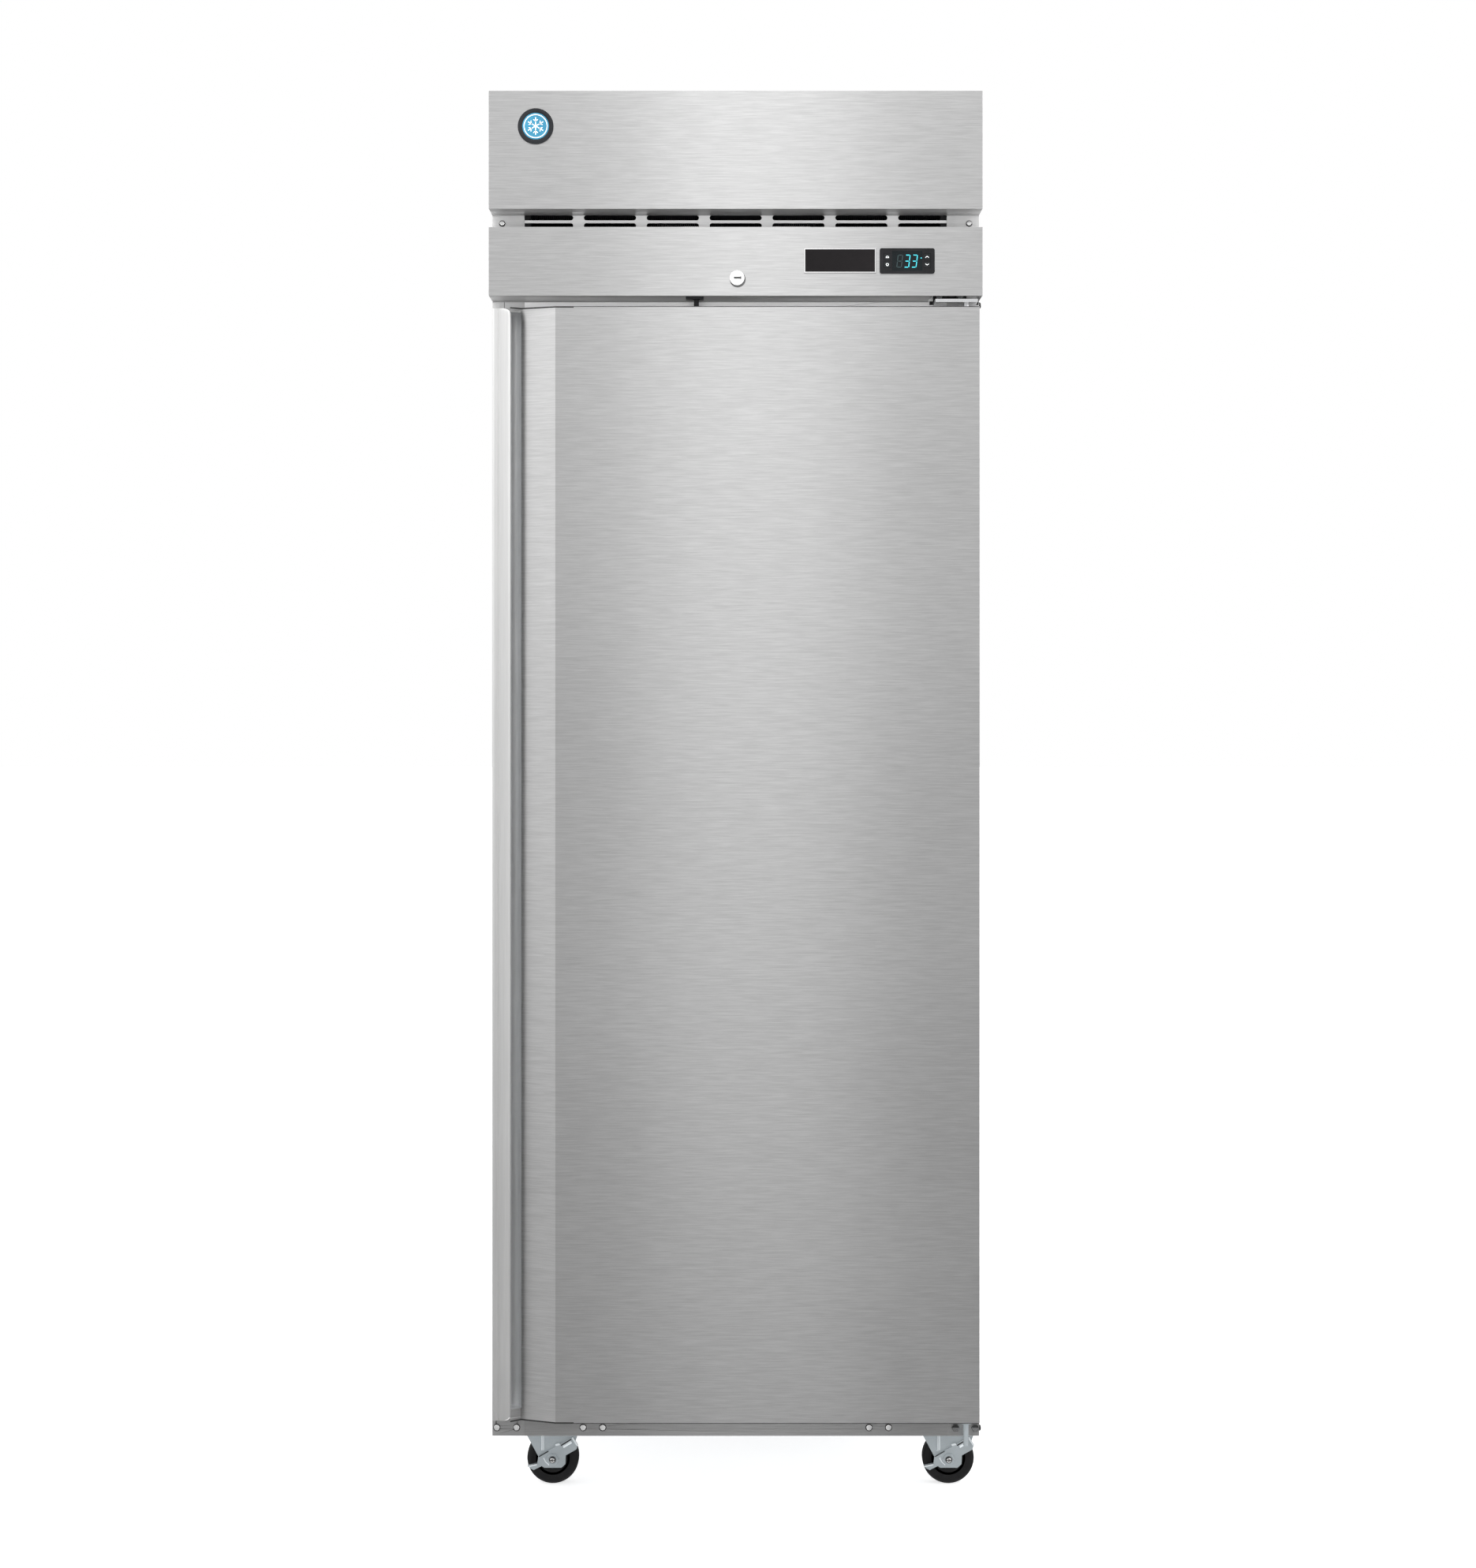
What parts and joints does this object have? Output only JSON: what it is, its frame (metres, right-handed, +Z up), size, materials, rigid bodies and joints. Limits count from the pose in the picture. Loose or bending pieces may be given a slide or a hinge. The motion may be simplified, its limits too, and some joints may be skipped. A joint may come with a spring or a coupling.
{
  "type": "reach-in refrigerator",
  "caption": "Upright reach-in refrigerator with a solid stainless door, full-height recessed handle, top-mounted unit behind a louvred front, temperature display, key lock and casters.",
  "frame": {"origin": "on the floor, at the middle of the cabinet's width and depth", "axes": "+X to the right as seen from the front, -Y towards the front, +Z up"},
  "size_m": [0.7015, 0.9031, 2.0193],
  "materials": {
    "stainless": "satin",
    "stainless_dark": "satin",
    "galvanised": "satin",
    "zinc": "satin",
    "chrome": "polished",
    "aluminium": "satin",
    "grip_steel": "satin",
    "foam": "matte",
    "gasket": "matte",
    "black_plastic": "matte",
    "display": "gloss",
    "key_plastic": "matte",
    "badge": "polished",
    "nylon": "satin",
    "black_paint": "satin",
    "white_plastic": "satin",
    "copper": "satin",
    "shelf_coat": "satin",
    "tyre": "matte",
    "lamp": "satin"
  },
  "bodies": {
    "cabinet": {"side_panel_left": "stainless", "side_panel_right": "stainless", "rear_panel": "galvanised", "base_pan": "galvanised", "insulation_foam": "foam", "inner_liner": "stainless", "frame_rails": "stainless", "panel_screws": "stainless", "machine_deck": "galvanised", "louvre_panel": "stainless", "upper_fascia": "stainless", "control_panel": "stainless", "badges": "badge", "controller_body": "black_plastic", "display_window": "display", "lock_body": "chrome", "door_switch": "black_plastic", "hinge_brackets": "stainless", "hex_bolts": "zinc", "caster_plates": "zinc", "compressor": "black_paint", "condenser_coil": "aluminium", "condenser_shroud": "galvanised", "fan_motors": "black_plastic", "evaporator_coil": "aluminium", "evaporator_cover": "white_plastic", "refrigerant_tubes": "copper", "control_box": "galvanised", "shelf_standards": "aluminium", "shelf_clips": "chrome", "cord_gland": "black_plastic", "led_lamp": "lamp"},
    "door": {"door_skin": "stainless", "door_inner_panel": "stainless", "door_foam": "foam", "door_gasket": "gasket", "handle_grip": "grip_steel", "handle_pocket": "stainless_dark", "hinge_bushes": "nylon"},
    "lock_plug": {"lock_plug": "chrome"},
    "switch_lever": {"switch_lever": "black_plastic"},
    "button_light": {"button_light": "key_plastic"},
    "button_power": {"button_power": "key_plastic"},
    "button_up": {"button_up": "key_plastic"},
    "button_down": {"button_down": "key_plastic"},
    "shelf_lower": {"shelf_lower": "shelf_coat"},
    "shelf_middle": {"shelf_middle": "shelf_coat"},
    "shelf_upper": {"shelf_upper": "shelf_coat"},
    "condenser_fan": {"condenser_fan": "black_plastic"},
    "evaporator_fan": {"evaporator_fan": "black_plastic"},
    "caster_fork_front_left": {"caster_fork_front_left": "zinc"},
    "caster_wheel_front_left": {"caster_wheel_front_left": "tyre"},
    "brake_lever_front_left": {"brake_lever_front_left": "zinc"},
    "caster_fork_front_right": {"caster_fork_front_right": "zinc"},
    "caster_wheel_front_right": {"caster_wheel_front_right": "tyre"},
    "brake_lever_front_right": {"brake_lever_front_right": "zinc"},
    "caster_fork_rear_left": {"caster_fork_rear_left": "zinc"},
    "caster_wheel_rear_left": {"caster_wheel_rear_left": "tyre"},
    "caster_fork_rear_right": {"caster_fork_rear_right": "zinc"},
    "caster_wheel_rear_right": {"caster_wheel_rear_right": "tyre"}
  },
  "joints": [
    {"name": "door_hinge", "type": "hinge", "parent": "cabinet", "child": "door", "pos_m": [0.328, -0.41225, 0.92], "axis": [0, 0, 1], "range_deg": [0, 120]},
    {"name": "lock_turn", "type": "hinge", "parent": "cabinet", "child": "lock_plug", "pos_m": [0.002, -0.43, 1.7545], "axis": [0, 1, 0], "range_deg": [0, 90]},
    {"name": "door_switch_lever", "type": "hinge", "parent": "cabinet", "child": "switch_lever", "pos_m": [-0.0557, -0.42925, 1.742], "axis": [1, 0, 0], "range_deg": [-12, 12], "stiffness_Nm_per_rad": 0.02},
    {"name": "light_key", "type": "slide", "parent": "cabinet", "child": "button_light", "axis": [0, 1, 0], "range_m": [0, 0.0008], "stiffness_N_per_m": 400},
    {"name": "power_key", "type": "slide", "parent": "cabinet", "child": "button_power", "axis": [0, 1, 0], "range_m": [0, 0.0008], "stiffness_N_per_m": 400},
    {"name": "up_key", "type": "slide", "parent": "cabinet", "child": "button_up", "axis": [0, 1, 0], "range_m": [0, 0.0008], "stiffness_N_per_m": 400},
    {"name": "down_key", "type": "slide", "parent": "cabinet", "child": "button_down", "axis": [0, 1, 0], "range_m": [0, 0.0008], "stiffness_N_per_m": 400},
    {"name": "lower_shelf_lift", "type": "slide", "parent": "cabinet", "child": "shelf_lower", "axis": [0, 0, 1], "range_m": [0, 0.025]},
    {"name": "middle_shelf_lift", "type": "slide", "parent": "cabinet", "child": "shelf_middle", "axis": [0, 0, 1], "range_m": [0, 0.025]},
    {"name": "upper_shelf_lift", "type": "slide", "parent": "cabinet", "child": "shelf_upper", "axis": [0, 0, 1], "range_m": [0, 0.025]},
    {"name": "condenser_fan_spin", "type": "hinge", "parent": "cabinet", "child": "condenser_fan", "pos_m": [0, -0.239, 1.868], "axis": [0, 1, 0], "continuous": true},
    {"name": "evaporator_fan_spin", "type": "hinge", "parent": "cabinet", "child": "evaporator_fan", "pos_m": [0, -0.016, 1.582], "axis": [0, 1, 0], "continuous": true},
    {"name": "front_left_swivel", "type": "hinge", "parent": "cabinet", "child": "caster_fork_front_left", "pos_m": [-0.2916, -0.219, 0.086], "axis": [0, 0, 1], "continuous": true},
    {"name": "front_left_brake", "type": "hinge", "parent": "caster_fork_front_left", "child": "brake_lever_front_left", "pos_m": [-0.2696, -0.241, 0.0381], "axis": [0, 1, 0], "range_deg": [0, 20]},
    {"name": "front_left_wheel_spin", "type": "hinge", "parent": "caster_fork_front_left", "child": "caster_wheel_front_left", "pos_m": [-0.2696, -0.219, 0.0381], "axis": [0, 1, 0], "continuous": true},
    {"name": "front_right_swivel", "type": "hinge", "parent": "cabinet", "child": "caster_fork_front_right", "pos_m": [0.2916, -0.219, 0.086], "axis": [0, 0, 1], "continuous": true},
    {"name": "front_right_brake", "type": "hinge", "parent": "caster_fork_front_right", "child": "brake_lever_front_right", "pos_m": [0.3136, -0.241, 0.0381], "axis": [0, 1, 0], "range_deg": [0, 20]},
    {"name": "front_right_wheel_spin", "type": "hinge", "parent": "caster_fork_front_right", "child": "caster_wheel_front_right", "pos_m": [0.3136, -0.219, 0.0381], "axis": [0, 1, 0], "continuous": true},
    {"name": "rear_left_swivel", "type": "hinge", "parent": "cabinet", "child": "caster_fork_rear_left", "pos_m": [-0.2916, 0.345, 0.086], "axis": [0, 0, 1], "continuous": true},
    {"name": "rear_left_wheel_spin", "type": "hinge", "parent": "caster_fork_rear_left", "child": "caster_wheel_rear_left", "pos_m": [-0.2696, 0.345, 0.0381], "axis": [0, 1, 0], "continuous": true},
    {"name": "rear_right_swivel", "type": "hinge", "parent": "cabinet", "child": "caster_fork_rear_right", "pos_m": [0.2916, 0.345, 0.086], "axis": [0, 0, 1], "continuous": true},
    {"name": "rear_right_wheel_spin", "type": "hinge", "parent": "caster_fork_rear_right", "child": "caster_wheel_rear_right", "pos_m": [0.3136, 0.345, 0.0381], "axis": [0, 1, 0], "continuous": true}
  ]
}
